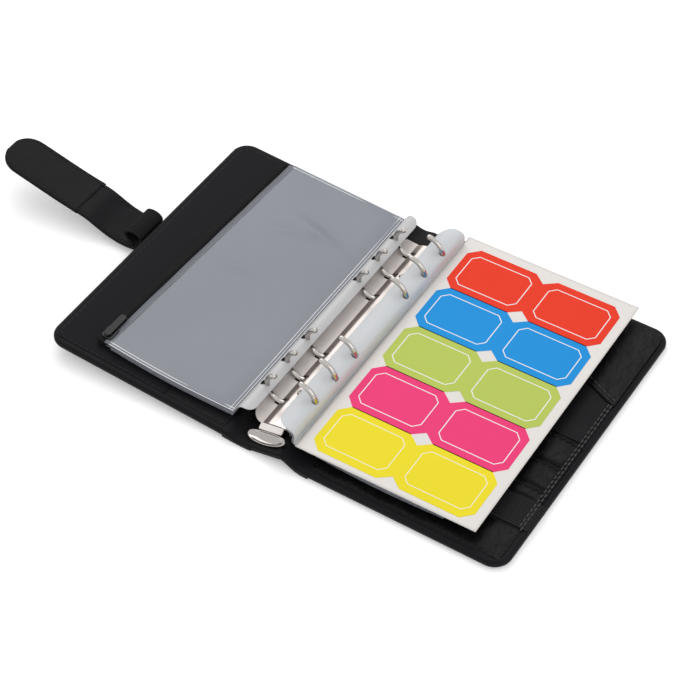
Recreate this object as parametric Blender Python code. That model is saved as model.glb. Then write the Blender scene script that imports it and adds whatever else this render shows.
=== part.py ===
# Six-ring A6 budget binder, open on a table. Lengths are written in millimetres and
# turned into metres when a mesh is made. x runs across the open covers, y along the
# spine, z up. The object's origin is at the middle of the bottom of its bounding box.
import bpy
import bmesh
import numpy as np
from math import cos, sin, radians, pi
from mathutils import Matrix, Vector

for old in list(bpy.data.objects):
    bpy.data.objects.remove(old, do_unlink=True)

mm = 0.001
gap = 0.3

# covers
coverHeight = 185.0
coverWidth = 116.0
coverThick = 4.5
cornerRadius = 10.0
rimWall = 1.2
skinThick = 0.8
liningThick = 0.9
halfHeight = coverHeight / 2
frontInner = 28.5
frontOuter = frontInner + coverWidth
backStart = -9.2
backInner = -8.3
backOuter = backInner - coverWidth
backTilt = radians(3.74)
pocketThick = 0.6

# spine and ring line, in a frame tilted with the spine
spineTilt = radians(11.9)
ringLine = 5.62
spineLow = 0.9
spineTop = 4.7
spineLeft = -4.0
spineRight = 16.5
hingeSkin = 1.4

# rings
ringCentre = 2.3
ringPitch = 19.05
ringMiddleGap = 50.8
ringRows = [ringMiddleGap / 2 + ringPitch * k for k in (0, 1, 2)]
ringYs = [ringCentre + sign * row for row in ringRows for sign in (-1, 1)]
wireRadius = 1.45
arcCentre = (5.5, 17.1)
arcRadius = 9.45
arcStart = 79.0
arcEnd = -50.0
wireFoot = (7.0, 7.6)
ringPivot = (8.0, 6.8)
bladeTilt = radians(10.3)
bladeThick = 0.6

# ring plate
plateHalf = 9.0
plateTop = 10.1
plateWall = 0.8
plateStart = -78.7
plateEnd = 75.0

# pouches
filmThick = 0.4
pouchThick = 1.6
pouchPitch = 1.9
pouchLow = -81.7
pouchHigh = 87.8
rightWeld = 29.0
rightPouchEnd = 114.0
rightFirst = 5.9
leftWeld = -12.0
leftFirst = 5.8
zipWidth = 9.0
stripThick = 0.35
holeRadius = 2.5
stripLow = -78.0
stripHigh = 84.0

# label sheet
sheetWidth = 104.4
sheetHeight = 178.4
sheetLeft = 19.4
sheetMiddle = (sheetLeft + sheetWidth / 2, 3.95)
sheetTurn = 0.0102
sheetLevel = 11.9
sheetThick = 0.2
labelLift = 0.1

# strap
strapMiddle = 5.3
strapHalf = 14.0
strapThick = 2.6
foreX = backStart + backOuter * cos(backTilt)
foreZ = -backOuter * sin(backTilt)
strapReach = 98.77
strapTip = foreX - strapReach

shiftX = -(strapTip + frontOuter) / 2
sheetReach = sheetMiddle[1] + sheetHeight / 2 * cos(sheetTurn) + sheetWidth / 2 * sin(sheetTurn)
shiftY = -(sheetReach - halfHeight) / 2

partColl = bpy.data.collections.new("budget_binder")
cutColl = bpy.data.collections.new("cutters")
bpy.context.scene.collection.children.link(partColl)
bpy.context.scene.collection.children.link(cutColl)

looks = {
    "leather": ((0.018, 0.018, 0.019), 0.55, 0.0),
    "board": ((0.30, 0.26, 0.21), 0.9, 0.0),
    "lining": ((0.022, 0.022, 0.024), 0.6, 0.0),
    "elastic": ((0.012, 0.012, 0.012), 0.9, 0.0),
    "nickel": ((0.66, 0.63, 0.59), 0.25, 1.0),
    "plateMetal": ((0.50, 0.45, 0.41), 0.4, 1.0),
    "magnet": ((0.35, 0.35, 0.36), 0.4, 1.0),
    "film": ((0.55, 0.57, 0.58), 0.25, 0.0),
    "strip": ((0.72, 0.73, 0.73), 0.3, 0.0),
    "zip": ((0.01, 0.01, 0.01), 0.6, 0.0),
    "paper": ((0.83, 0.79, 0.75), 0.7, 0.0),
    "red": ((0.85, 0.05, 0.015), 0.5, 0.0),
    "blue": ((0.03, 0.29, 0.72), 0.5, 0.0),
    "green": ((0.50, 0.60, 0.13), 0.5, 0.0),
    "pink": ((0.90, 0.06, 0.24), 0.5, 0.0),
    "yellow": ((0.90, 0.74, 0.05), 0.5, 0.0),
}


def dress(obj, look):
    colour, rough, metal = looks[look]
    mat = bpy.data.materials.new(obj.name + "_mat")
    mat.use_nodes = True
    mat.diffuse_color = (*colour, 1)
    shader = mat.node_tree.nodes["Principled BSDF"]
    shader.inputs["Base Color"].default_value = (*colour, 1)
    shader.inputs["Roughness"].default_value = rough
    shader.inputs["Metallic"].default_value = metal
    obj.data.materials.append(mat)


# frames: each takes a point of its own frame and gives the place on the table
def table(p):
    return (p[0], p[1], p[2])


def backFrame(p):
    c, s = cos(backTilt), sin(backTilt)
    return (backStart + p[0] * c + p[2] * s, p[1], -p[0] * s + p[2] * c)


def spineFrame(p):
    c, s = cos(spineTilt), sin(spineTilt)
    return (p[0] * c - p[2] * s, p[1], p[0] * s + p[2] * c)


def ringFrame(p):
    return spineFrame((p[0] + ringLine, p[1], p[2]))


def meshFrom(name, points, faces, frame):
    mesh = bpy.data.meshes.new(name)
    placed = [Vector(frame(p)) for p in points]
    mesh.from_pydata([((v.x + shiftX) * mm, (v.y + shiftY) * mm, v.z * mm) for v in placed], [], faces)
    shell = bmesh.new()
    shell.from_mesh(mesh)
    bmesh.ops.recalc_face_normals(shell, faces=shell.faces)
    shell.to_mesh(mesh)
    shell.free()
    return mesh


def prism(outline, low, high, axis="z"):
    # an outline carried from low to high; along y the outline lies in x and z
    count = len(outline)
    area = sum(outline[i - 1][0] * outline[i][1] - outline[i][0] * outline[i - 1][1] for i in range(count))
    run = list(outline) if area > 0 else list(outline)[::-1]
    if axis == "z":
        points = [(a, b, low) for a, b in run] + [(a, b, high) for a, b in run]
    else:
        points = [(a, high, b) for a, b in run] + [(a, low, b) for a, b in run]
    faces = [list(range(count))[::-1], list(range(count, 2 * count))]
    for i in range(count):
        j = (i + 1) % count
        faces.append([i, j, j + count, i + count])
    return points, faces


def joined(solids):
    points = []
    faces = []
    for some, sides in solids:
        start = len(points)
        points += some
        faces += [[i + start for i in side] for side in sides]
    return points, faces


def piece(name, solid, look, frame=table, pivot=(0, 0, 0)):
    mesh = meshFrom(name, solid[0], solid[1], frame)
    obj = bpy.data.objects.new(name, mesh)
    partColl.objects.link(obj)
    dress(obj, look)
    start = Vector(((pivot[0] + shiftX) * mm, (pivot[1] + shiftY) * mm, pivot[2] * mm)) if any(pivot) else Vector()
    mesh.transform(Matrix.Translation(-start))
    obj.location = start
    return obj


def cut(obj, solids, frame=table, operation="DIFFERENCE"):
    mesh = meshFrom(obj.name + "_cut", *joined(solids), frame)
    tool = bpy.data.objects.new(obj.name + "_cut", mesh)
    cutColl.objects.link(tool)
    tool.display_type = "WIRE"
    tool.hide_render = True
    mod = obj.modifiers.new("cut", "BOOLEAN")
    mod.operation = operation
    mod.solver = "EXACT"
    mod.object = tool


def roundRect(x0, x1, y0, y1, radius, steps=5):
    out = []
    corners = ((x1, y1, 0), (x0, y1, 90), (x0, y0, 180), (x1, y0, 270))
    for x, y, turn in corners:
        cx = x + (radius if x == x0 else -radius)
        cy = y + (radius if y == y0 else -radius)
        for k in range(steps + 1):
            a = radians(turn + 90 * k / steps)
            out.append((cx + radius * cos(a), cy + radius * sin(a)))
    return out


def ribbon(line, thick):
    # a band of even thickness round a line in x and z
    pts = np.array(line, float)
    way = np.gradient(pts, axis=0)
    way /= np.linalg.norm(way, axis=1)[:, None]
    side = np.column_stack([-way[:, 1], way[:, 0]]) * thick / 2
    return [tuple(p) for p in pts + side] + [tuple(p) for p in (pts - side)[::-1]]


def tube(path, radius, y, sides=10):
    # a round wire along a path in x and z, closed at both ends
    pts = np.array(path, float)
    way = np.gradient(pts, axis=0)
    way /= np.linalg.norm(way, axis=1)[:, None]
    out = []
    for (px, pz), (wx, wz) in zip(pts, way):
        for k in range(sides):
            a = 2 * pi * k / sides
            r = radius * cos(a)
            out.append((px - wz * r, y + radius * sin(a), pz + wx * r))
    faces = []
    count = len(pts)
    for i in range(count - 1):
        for k in range(sides):
            j = (k + 1) % sides
            faces.append([i * sides + k, (i + 1) * sides + k, (i + 1) * sides + j, i * sides + j])
    faces.append(list(range(sides)))
    faces.append([(count - 1) * sides + k for k in range(sides)][::-1])
    return out, faces


def box(x0, x1, y0, y1, z0, z1):
    return prism([(x0, y0), (x1, y0), (x1, y1), (x0, y1)], z0, z1)


# front cover: skin with a turned-in rim, a board and a lining inside the rim
def coverLayers(side, x0, x1, frame):
    sheet = roundRect(x0, x1, -halfHeight, halfHeight, cornerRadius)
    inset = rimWall
    hollow = roundRect(x0 + inset, x1 - inset, -halfHeight + inset, halfHeight - inset, cornerRadius - inset)
    skin = piece(side + "_skin", prism(sheet, 0, coverThick), "leather", frame)
    cut(skin, [prism(hollow, skinThick, coverThick + 1)], frame)
    inset = rimWall + gap
    inner = roundRect(x0 + inset, x1 - inset, -halfHeight + inset, halfHeight - inset, cornerRadius - inset)
    boardTop = coverThick - liningThick - gap
    board = piece(side + "_board", prism(inner, skinThick + gap, boardTop), "board", frame)
    piece(side + "_lining", prism(inner, coverThick - liningThick, coverThick), "lining", frame)
    return board


pocketLow = coverThick + gap
pocketHigh = pocketLow + pocketThick
frontBoard = coverLayers("front", frontInner, frontOuter, table)
backBoard = coverLayers("back", backOuter, backInner, backFrame)

# keeper magnet in a round hole of the front board
magnetRadius = 8.0
magnetSpot = (frontOuter - 24.0, strapMiddle)


def disc(x, y, radius, low, high, sides=24):
    ring = [(x + radius * cos(2 * pi * k / sides), y + radius * sin(2 * pi * k / sides)) for k in range(sides)]
    return prism(ring, low, high)


cut(frontBoard, [disc(*magnetSpot, magnetRadius + gap, 0, coverThick)])
piece("front_keeper", disc(*magnetSpot, magnetRadius, skinThick + gap, skinThick + gap + 1.6), "magnet")

# pockets on the front lining
panelEdge = 2.6
pocketOuter = frontOuter - panelEdge
pocketInner = frontInner + panelEdge
curve = [(pocketOuter, 29.3), (127.4, 35.4), (110.0, 44.0), (90.0, 56.0), (70.0, 68.0), (50.0, 80.0)]
curved = curve + [(pocketInner + 8, halfHeight - panelEdge), (pocketOuter - 7, halfHeight - panelEdge),
                  (pocketOuter - 2, halfHeight - panelEdge - 2), (pocketOuter, halfHeight - panelEdge - 7)]
piece("front_curved_pocket", prism(curved, pocketLow, pocketHigh), "lining")
hems = (-0.7, -20.0, -37.5, -46.5)
hemStep = 0.2
stairs = [(hems[3], pocketLow), (hems[0], pocketLow), (hems[0], pocketHigh), (hems[1], pocketHigh),
          (hems[1], pocketHigh - hemStep), (hems[2], pocketHigh - hemStep), (hems[2], pocketHigh - 2 * hemStep),
          (hems[3], pocketHigh - 2 * hemStep)]


def acrossFrame(p):
    return (p[2], p[0], p[1])


piece("front_card_slots", prism(stairs, pocketInner, pocketOuter), "lining", acrossFrame)
bandLow = -66.2
bandHigh = -47.7
piece("front_elastic_band", box(pocketInner, pocketOuter, bandLow, bandHigh, pocketLow, pocketHigh + 0.3), "elastic")

# slip pocket on the back lining, open towards the spine
slipEdge = -49.7
slip = roundRect(backOuter + panelEdge, slipEdge, -halfHeight + panelEdge, halfHeight - panelEdge, 7.0)
piece("back_slip_pocket", prism(slip, pocketLow, pocketHigh), "lining", backFrame)

# spine
spineSkinTop = spineLow + skinThick
spineBoardTop = spineTop - skinThick - gap
spineWide = (spineLeft, spineRight)
for name, low, high, look in (("spine_skin", spineLow, spineSkinTop, "leather"),
                              ("spine_board", spineSkinTop + gap, spineBoardTop, "board"),
                              ("spine_lining", spineBoardTop + gap, spineTop, "lining")):
    piece(name, box(*spineWide, -halfHeight, halfHeight, low, high), look, spineFrame)

# soft leathers that hinge the covers, a line of x and z carried along the spine
frontHinge = [(16.9, 5.6), (19.5, 4.7), (22.5, 3.2), (25.5, 2.0), (28.1, 1.7)]
backHinge = [(-17.1, 1.9), (-14.0, 1.4), (-10.5, 1.1), (-7.5, 1.0), (-4.7, 1.1)]
for name, line in (("front_hinge_leather", frontHinge), ("back_hinge_leather", backHinge)):
    piece(name, prism(ribbon(line, hingeSkin), -halfHeight, halfHeight, "y"), "leather")

# ring plate, a low channel with an open slot at each wire
outside = [(-plateHalf, 5.0), (-plateHalf, 7.6), (-7.6, 9.2), (-4.0, 9.9), (0.0, plateTop),
           (4.0, 9.9), (7.6, 9.2), (plateHalf, 7.6), (plateHalf, 5.0)]
inside = [(plateHalf - plateWall, 5.0), (plateHalf - plateWall, 7.2), (7.2, 8.4), (3.8, 9.1), (0.0, 9.3),
          (-3.8, 9.1), (-7.2, 8.4), (-plateHalf + plateWall, 7.2), (-plateHalf + plateWall, 5.0)]
plate = piece("ring_plate", prism(outside + inside, plateStart, plateEnd, "y"), "plateMetal", ringFrame)
slotHalf = 2.2
wells = []
for y in ringYs:
    for side in (-1, 1):
        near, far = sorted((side * 3.9, side * (plateHalf + 1)))
        wells.append(box(near, far, y - slotHalf, y + slotHalf, 6.0, plateTop + 1))
rivetYs = (-53.7, 47.0)
cut(plate, wells + [disc(0, y, 1.3, 0, 20, 12) for y in rivetYs], ringFrame)
for number, y in enumerate(rivetYs, 1):
    profile = [(0, 0), (1.0, 8.8), (1.0, 10.4), (2.3, 10.4), (2.3, 10.9), (1.5, 11.5), (0, 11.8)]
    points = []
    for r, z in profile[1:-1]:
        points += [(r * cos(2 * pi * k / 12), y + r * sin(2 * pi * k / 12), z) for k in range(12)]
    rows = len(profile) - 2
    faces = [list(range(12))[::-1]]
    for i in range(rows - 1):
        faces += [[i * 12 + k, i * 12 + (k + 1) % 12, (i + 1) * 12 + (k + 1) % 12, (i + 1) * 12 + k]
                  for k in range(12)]
    faces.append([(rows - 1) * 12 + k for k in range(12)])
    piece("plate_rivet_%d" % number, (points, faces), "nickel", ringFrame)

# each half of the rings is a carrier blade, hidden in the plate, with six wires staked to it;
# it turns at the blade's outer edge
arc = [(arcCentre[0] + arcRadius * cos(radians(a)), arcCentre[1] + arcRadius * sin(radians(a)))
       for a in np.linspace(arcStart, arcEnd, 14)]
wire = arc + [(10.4, 9.1), wireFoot]
bladeReach = ringPivot[0] - 0.35
for side, sign in (("left", -1), ("right", 1)):
    px, pz = ringPivot
    pivot = ringFrame((sign * px, 0, pz))
    path = [(sign * x, z) for x, z in wire]
    wires = [tube(path, wireRadius, y) for y in ringYs]
    inner = (px - bladeReach, pz + bladeReach * np.tan(bladeTilt))
    blade = [(sign * x, z) for x, z in ribbon([inner, ((inner[0] + px) / 2, (inner[1] + pz) / 2), (px, pz)], bladeThick)]
    half = piece(side + "_ring_half", prism(blade, plateStart + 5, plateEnd - 3, "y"), "nickel", ringFrame, pivot)
    cut(half, wires, ringFrame, "UNION")
    print(side, "ring pivot", pivot)

# end lever: a dished oval pad on a short tongue that enters the plate's end
leverTilt = radians(20.0)
leverAxis = (0.0, plateStart - 0.6, 9.6)
padHalf = (9.2, 5.4)
padMiddle = 5.9
padThick = 1.1


def leverFrame(p):
    c, s = cos(leverTilt), sin(leverTilt)
    y = leverAxis[1] - (p[1] * c - p[2] * s)
    return ringFrame((p[0] - 1.2, y, leverAxis[2] - (p[1] * s + p[2] * c) + 0.8))


oval = [(padHalf[0] * cos(2 * pi * k / 28), padMiddle + padHalf[1] * sin(2 * pi * k / 28)) for k in range(28)]
lever = piece("end_lever", prism(oval, 0, padThick), "nickel", leverFrame, ringFrame(leverAxis))
dish = [(x * 0.84, padMiddle + (y - padMiddle) * 0.8) for x, y in oval]
cut(lever, [prism(dish, -1, padThick * 0.45)], leverFrame)

# punched strips of the pouches: the line of x and z, the place where the wire passes it
wireMiddle = {-1: ringFrame((-arcCentre[0], 0, arcCentre[1])), 1: ringFrame((arcCentre[0], 0, arcCentre[1]))}
strips = {
    "left_lower_strip": (-1, [(-20.4, 7.4), (-16.5, 11.2), (-13.9, 13.5), (-12.5, 13.9), (-10.6, 13.2),
                              (-9.2, 11.8), (-7.8, 10.7), (-6.2, 10.3)], 3),
    "left_upper_strip": (-1, [(-20.3, 9.3), (-17.0, 13.2), (-14.5, 15.9), (-12.85, 16.5), (-10.5, 15.9),
                              (-8.8, 14.3)], 3),
    "right_lower_strip": (1, [(28.6, 6.7), (21.0, 7.6), (17.4, 8.7), (16.2, 10.5), (16.2, 12.3), (16.6, 13.7),
                              (15.9, 14.9), (13.0, 15.6), (9.0, 15.9), (2.5, 15.8)], 6),
    "right_middle_strip": (1, [(28.6, 8.6), (21.0, 9.2), (17.3, 10.1), (16.7, 12.0), (17.6, 14.4), (18.2, 16.4),
                               (16.75, 17.8), (13.4, 18.7), (8.0, 19.6), (3.0, 19.7)], 6),
    "right_upper_strip": (1, [(28.6, 10.5), (22.0, 10.8), (18.0, 11.1), (17.5, 12.7), (18.6, 14.8), (19.1, 17.6),
                              (18.4, 19.4), (16.75, 20.4), (13.4, 21.8), (8.5, 23.2), (4.2, 23.6)], 7),
}
for name, (side, line, hole) in strips.items():
    strip = piece(name, prism(ribbon(line, stripThick), stripLow, stripHigh, "y"), "strip")
    hx, hz = line[hole]
    cx, cz = wireMiddle[side][0], wireMiddle[side][2]
    out = np.array([hx - cx, hz - cz]) / np.hypot(hx - cx, hz - cz)
    along = np.array([-out[1], out[0]])
    punches = []
    for y in ringYs:
        ring = [(holeRadius * cos(2 * pi * k / 16), holeRadius * sin(2 * pi * k / 16)) for k in range(16)]
        points = [(hx + out[0] * a + along[0] * t, y + b, hz + out[1] * a + along[1] * t)
                  for t in (-2.6, 2.6) for a, b in ring]
        faces = [list(range(16))[::-1], list(range(16, 32))]
        faces += [[k, (k + 1) % 16, (k + 1) % 16 + 16, k + 16] for k in range(16)]
        punches.append((points, faces))
    cut(strip, punches)

# zip pouches: two films, a zip along the outer edge and its slider
sliderSize = (7.0, 9.0)


def pouch(name, weld, end, low, frame, sign, slant=0.0):
    high = low + pouchThick
    reach = end - sign * zipWidth
    lean = sign * slant
    sheet = [(weld, pouchLow), (reach, pouchLow), (reach + lean, pouchHigh), (weld, pouchHigh)]
    piece(name + "_back_film", prism(sheet, low, low + filmThick), "film", frame)
    piece(name + "_front_film", prism(sheet, high - filmThick, high), "film", frame)
    # the zip lies beside the films and runs under the slider
    a = reach + sign * gap
    tape = [(a, pouchLow + 1), (end, pouchLow + 1), (end + lean, pouchHigh), (a + lean, pouchHigh)]
    piece(name + "_zip", prism(tape, low + 0.1, low + 0.5), "zip", frame)
    middle = (a + end) / 2
    sx, sy = sliderSize[0] / 2, sliderSize[1]
    return middle, prism(roundRect(middle - sx, middle + sx, pouchLow + 3, pouchLow + 3 + sy, 2.0, 3), low + 0.8, high)


leftEnds = (-99.0, -100.0)
for k, name in enumerate(("left_lower_pouch", "left_upper_pouch")):
    low = leftFirst + pouchPitch * k
    pivot = backFrame((leftWeld, 0, low + pouchThick / 2)) if k else (0, 0, 0)
    middle, body = pouch(name, leftWeld, leftEnds[k], low, backFrame, -1, -7.0)
    piece(name + "_slider", body, "zip", backFrame)
leftTop = leftFirst + pouchPitch + pouchThick
pullSize = (4.0, 17.0)
pull = roundRect(middle - pullSize[0] / 2, middle + pullSize[0] / 2, pouchLow + 4, pouchLow + 4 + pullSize[1], 1.6, 3)
pullLow = leftTop + gap
pullHinge = backFrame((middle, pouchLow + 4.1, pullLow))
piece("left_upper_pouch_pull", prism(pull, pullLow, pullLow + 1.0), "zip", backFrame, pullHinge)
for k, name in enumerate(("right_lower_pouch", "right_middle_pouch", "right_upper_pouch")):
    middle, body = pouch(name, rightWeld, rightPouchEnd, rightFirst + pouchPitch * k, table, 1)
    piece(name + "_slider", body, "zip")


# label sheet, and ten blank labels: two cut-corner plates joined by a neck in each row
def sheetFrame(p):
    c, s = cos(sheetTurn), sin(sheetTurn)
    return (sheetMiddle[0] + p[0] * c - p[1] * s, sheetMiddle[1] + p[0] * s + p[1] * c, p[2])


backing = box(-sheetWidth / 2, sheetWidth / 2, -sheetHeight / 2, sheetHeight / 2, sheetLevel, sheetLevel + sheetThick)
piece("label_backing", backing, "paper", sheetFrame)
labelHalf = (sheetWidth / 2 - 5.7, 15.4)
neckHalf = 5.5
cornerCut = 6.5
neckRise = 10.5
rowPitch = 35.0
labelLow = sheetLevel + sheetThick
w, h = labelHalf
quarter = [(neckHalf * 0.35, neckRise), (neckHalf + 0.5, h), (w - cornerCut, h), (w, h - cornerCut)]
label = quarter + [(x, -z) for x, z in quarter[::-1]]
label += [(-x, -z) for x, z in quarter] + [(-x, z) for x, z in quarter[::-1]]
for row, colour in enumerate(("red", "blue", "green", "pink", "yellow")):
    shift = (2 - row) * rowPitch
    spot = [(x, y + shift) for x, y in label]
    piece(colour + "_labels", prism(spot, labelLow + 0.1, labelLow + 0.2), colour, sheetFrame)

# strap: a root under the back cover, a middle length and a padded end, measured from the
# lower rim of the back cover's outer edge
def foreFrame(p):
    return (p[0] + foreX, p[1], p[2] + foreZ)


strapHinge = (-15.0, strapMiddle, -3.6)
strapFold = (-64.0, strapMiddle, 10.4)
rootLine = [(35.2, -4.1), (23.2, -3.3), (11.2, -2.8), (0.2, -3.1), (-6.8, -4.6), (-14.8, -5.0)]
middleLine = [(-15.3, -5.0), (-23.8, -3.2), (-31.8, 0.3), (-37.8, 3.1), (-44.8, 4.5), (-63.7, 9.0)]
endLine = [(-64.3, 9.2), (-71.8, 11.0), (-81.8, 13.6), (-90.8, 15.9), (-100.8, 18.5)]
strapLow = strapMiddle - strapHalf
strapHigh = strapMiddle + strapHalf
piece("strap_root", prism(ribbon(rootLine, strapThick), strapLow, strapHigh, "y"), "leather", foreFrame)
piece("strap_middle", prism(ribbon(middleLine, strapThick), strapLow, strapHigh, "y"), "leather", foreFrame,
      foreFrame(strapHinge))
end = piece("strap_end", prism(ribbon(endLine, strapThick), strapLow, strapHigh, "y"), "leather", foreFrame,
            foreFrame(strapFold))
tipCentre = strapTip + strapHalf
farOut = strapReach
rounding = [(tipCentre + farOut, strapLow), (tipCentre, strapLow)]
rounding += [(tipCentre - strapHalf * sin(a), strapMiddle - strapHalf * cos(a)) for a in np.linspace(0.1, pi - 0.1, 13)]
rounding += [(tipCentre, strapHigh), (tipCentre + farOut, strapHigh), (tipCentre + farOut, strapHigh + 20),
             (strapTip - 20, strapHigh + 20), (strapTip - 20, strapLow - 20), (tipCentre + farOut, strapLow - 20)]
cut(end, [prism(rounding, -10, 60)])

# pen loop, a flat elastic tube on the outer edge of the back cover
loopMiddle = (-7.0, 1.9)
loopHalf = (5.8, 4.6)
loopWall = 1.2
loopEnds = (-5.7, 15.3)
loops = []
for scale in (0.0, loopWall):
    loops.append([(loopMiddle[0] + (loopHalf[0] - scale) * cos(2 * pi * k / 24),
                   loopMiddle[1] + (loopHalf[1] - scale) * sin(2 * pi * k / 24)) for k in range(24)])
loop = piece("pen_loop", prism(loops[0], *loopEnds, "y"), "elastic", foreFrame)
cut(loop, [prism(loops[1], loopEnds[0] - 5, loopEnds[1] + 5, "y")], foreFrame)
print("shift", shiftX, shiftY, "pieces", len(partColl.objects))
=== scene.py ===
from math import cos, pi, radians, sin
import bpy
import numpy as np
from mathutils import Matrix, Vector


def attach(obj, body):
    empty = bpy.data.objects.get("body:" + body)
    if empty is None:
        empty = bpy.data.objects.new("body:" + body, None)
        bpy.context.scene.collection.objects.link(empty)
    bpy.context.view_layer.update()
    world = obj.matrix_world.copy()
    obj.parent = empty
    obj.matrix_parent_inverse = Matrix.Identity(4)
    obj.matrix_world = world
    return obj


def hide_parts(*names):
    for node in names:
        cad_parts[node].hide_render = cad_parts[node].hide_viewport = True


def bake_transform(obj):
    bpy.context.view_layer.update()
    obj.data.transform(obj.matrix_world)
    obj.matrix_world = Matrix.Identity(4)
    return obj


# Looks of a six-ring budget binder lying open. Lengths below are millimetres measured from the
# middle between the wire tips and the middle of the covers; inRow turns them into the row's metres.
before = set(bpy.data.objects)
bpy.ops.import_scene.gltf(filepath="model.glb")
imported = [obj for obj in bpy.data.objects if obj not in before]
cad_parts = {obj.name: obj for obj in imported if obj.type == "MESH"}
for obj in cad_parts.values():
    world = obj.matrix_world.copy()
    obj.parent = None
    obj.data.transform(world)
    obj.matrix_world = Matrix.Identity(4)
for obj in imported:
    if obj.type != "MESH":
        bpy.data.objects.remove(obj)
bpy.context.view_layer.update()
shift = np.array([43.7526, -0.5889, 0.0])
tilts = {"back": radians(3.74), "backStart": -9.2, "spine": radians(11.9), "ringLine": 5.62}


# frames: the table, the raised back cover and the tilted spine
def tableFrame(p):
    return np.asarray(p, float)


def backFrame(p):
    p = np.asarray(p, float)
    c, s = cos(tilts["back"]), sin(tilts["back"])
    x, y, z = p[..., 0], p[..., 1], p[..., 2]
    return np.stack([tilts["backStart"] + x * c + z * s, y, z * c - x * s], -1)


def ringFrame(p):
    p = np.asarray(p, float)
    c, s = cos(tilts["spine"]), sin(tilts["spine"])
    x = p[..., 0] + tilts["ringLine"]
    return np.stack([x * c - p[..., 2] * s, p[..., 1], x * s + p[..., 2] * c], -1)


def inRow(p):
    return (np.asarray(p, float) + shift) / 1000


# meshes
def makePiece(name, points, faces, look, place=tableFrame, smooth=True):
    mesh = bpy.data.meshes.new(name)
    mesh.from_pydata(inRow(place(points)).tolist(), [], faces)
    mesh.update()
    if smooth:
        mesh.shade_smooth()
    obj = bpy.data.objects.new(name, mesh)
    bpy.context.scene.collection.objects.link(obj)
    mesh.materials.append(look.mat)
    return obj


def gridFaces(rows, cols, start=0, wrap=False):
    # quads between neighbouring rows of a rows by cols grid; wrap joins the last column to the first
    i, j = np.meshgrid(np.arange(rows - 1), np.arange(cols if wrap else cols - 1), indexing="ij")
    k = (j + 1) % cols
    here, above = i * cols, (i + 1) * cols
    return (start + np.stack([here + j, here + k, above + k, above + j], -1)).reshape(-1, 4).tolist()


def endCaps(cols, rows, start=0):
    # one face closes the first ring of points and one the last
    last = start + (rows - 1) * cols
    return [list(range(start, start + cols))[::-1], list(range(last, last + cols))]


def raised(line, z):
    return np.column_stack([line, np.full(len(line), z)])


def alongX(x0, x1, y, z, count):
    return np.column_stack([np.linspace(x0, x1, count), np.full(count, y), np.full(count, z)])


def alongY(x, y0, y1, z, count):
    return np.column_stack([np.full(count, x), np.linspace(y0, y1, count), np.full(count, z)])


def shares(nx, ny, low=0):
    return np.meshgrid(np.linspace(low, 1, nx), np.linspace(low, 1, ny), indexing="ij")


def fullTurn(count):
    return np.linspace(0, 2 * pi, count, endpoint=False)


def outline(x0, x1, y0, y1, radius, inset=0.0, steps=10, square=0):
    # a rounded rectangle, anticlockwise; square is the sign of the side whose corners stay nearly sharp
    turn = np.linspace(0, pi / 2, steps)
    out = []
    for sx, sy, start in ((1, 1, 0), (-1, 1, 1), (-1, -1, 2), (1, -1, 3)):
        r = max((0.6 if sx == square else radius) - inset, 0.05)
        cx = (x1 - inset - r) if sx > 0 else (x0 + inset + r)
        cy = (y1 - inset - r) if sy > 0 else (y0 + inset + r)
        a = turn + start * pi / 2
        out.append(np.stack([cx + r * np.cos(a), cy + r * np.sin(a)], -1))
    return np.concatenate(out)


def resample(path, count, closed=False):
    # points at even steps along a path
    path = np.asarray(path, float)
    if closed:
        path = np.vstack([path, path[:1]])
    way = np.r_[0, np.cumsum(np.linalg.norm(np.diff(path, axis=0), axis=1))]
    at = np.linspace(0, way[-1], count + (1 if closed else 0))[:count]
    return np.stack([np.interp(at, way, path[:, k]) for k in range(path.shape[1])], -1)


def smoothLine(path, count, rounds=3):
    # every corner is cut, in rounds, by points at a quarter and three quarters of each length
    p = np.asarray(path, float)
    for _ in range(rounds):
        q = np.empty((2 * len(p), p.shape[1]))
        q[0], q[-1] = p[0], p[-1]
        q[1:-1:2] = p[:-1] * 0.75 + p[1:] * 0.25
        q[2:-1:2] = p[:-1] * 0.25 + p[1:] * 0.75
        p = q
    return resample(p, count)


def panel(name, line, profile, look, place=tableFrame):
    # rings of one outline, each at its own inset and height, closed by a flat cap at both ends
    rings = [raised(line(inset), z) for inset, z in profile]
    count = len(rings[0])
    faces = gridFaces(len(rings), count, wrap=True) + endCaps(count, len(rings))
    return makePiece(name, np.concatenate(rings), faces, look, place)


def closedSheet(name, top, low, look, place=tableFrame):
    # two grids of points, an upper and a lower one, joined by a wall round their rim
    rows, cols = top.shape[:2]
    n = rows * cols
    faces = gridFaces(rows, cols) + [f[::-1] for f in gridFaces(rows, cols, n)]
    grid = np.arange(n).reshape(rows, cols)
    rim = np.concatenate([grid[0, :-1], grid[:-1, -1], grid[-1, :0:-1], grid[:0:-1, 0]])
    following = np.roll(rim, -1)
    faces += np.stack([following, rim, rim + n, following + n], -1).tolist()
    return makePiece(name, np.concatenate([top.reshape(-1, 3), low.reshape(-1, 3)]), faces, look, place)


def lean(obj, lift):
    # a flat plate is raised by lift, worked out from its points, and set in the ring frame
    p = np.empty(len(obj.data.vertices) * 3, np.float32)
    obj.data.vertices.foreach_get("co", p)
    p = p.reshape(-1, 3).astype(float) * 1000 - shift
    p[:, 2] += lift(p)
    obj.data.vertices.foreach_set("co", inRow(ringFrame(p)).ravel())
    obj.data.update()


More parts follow.
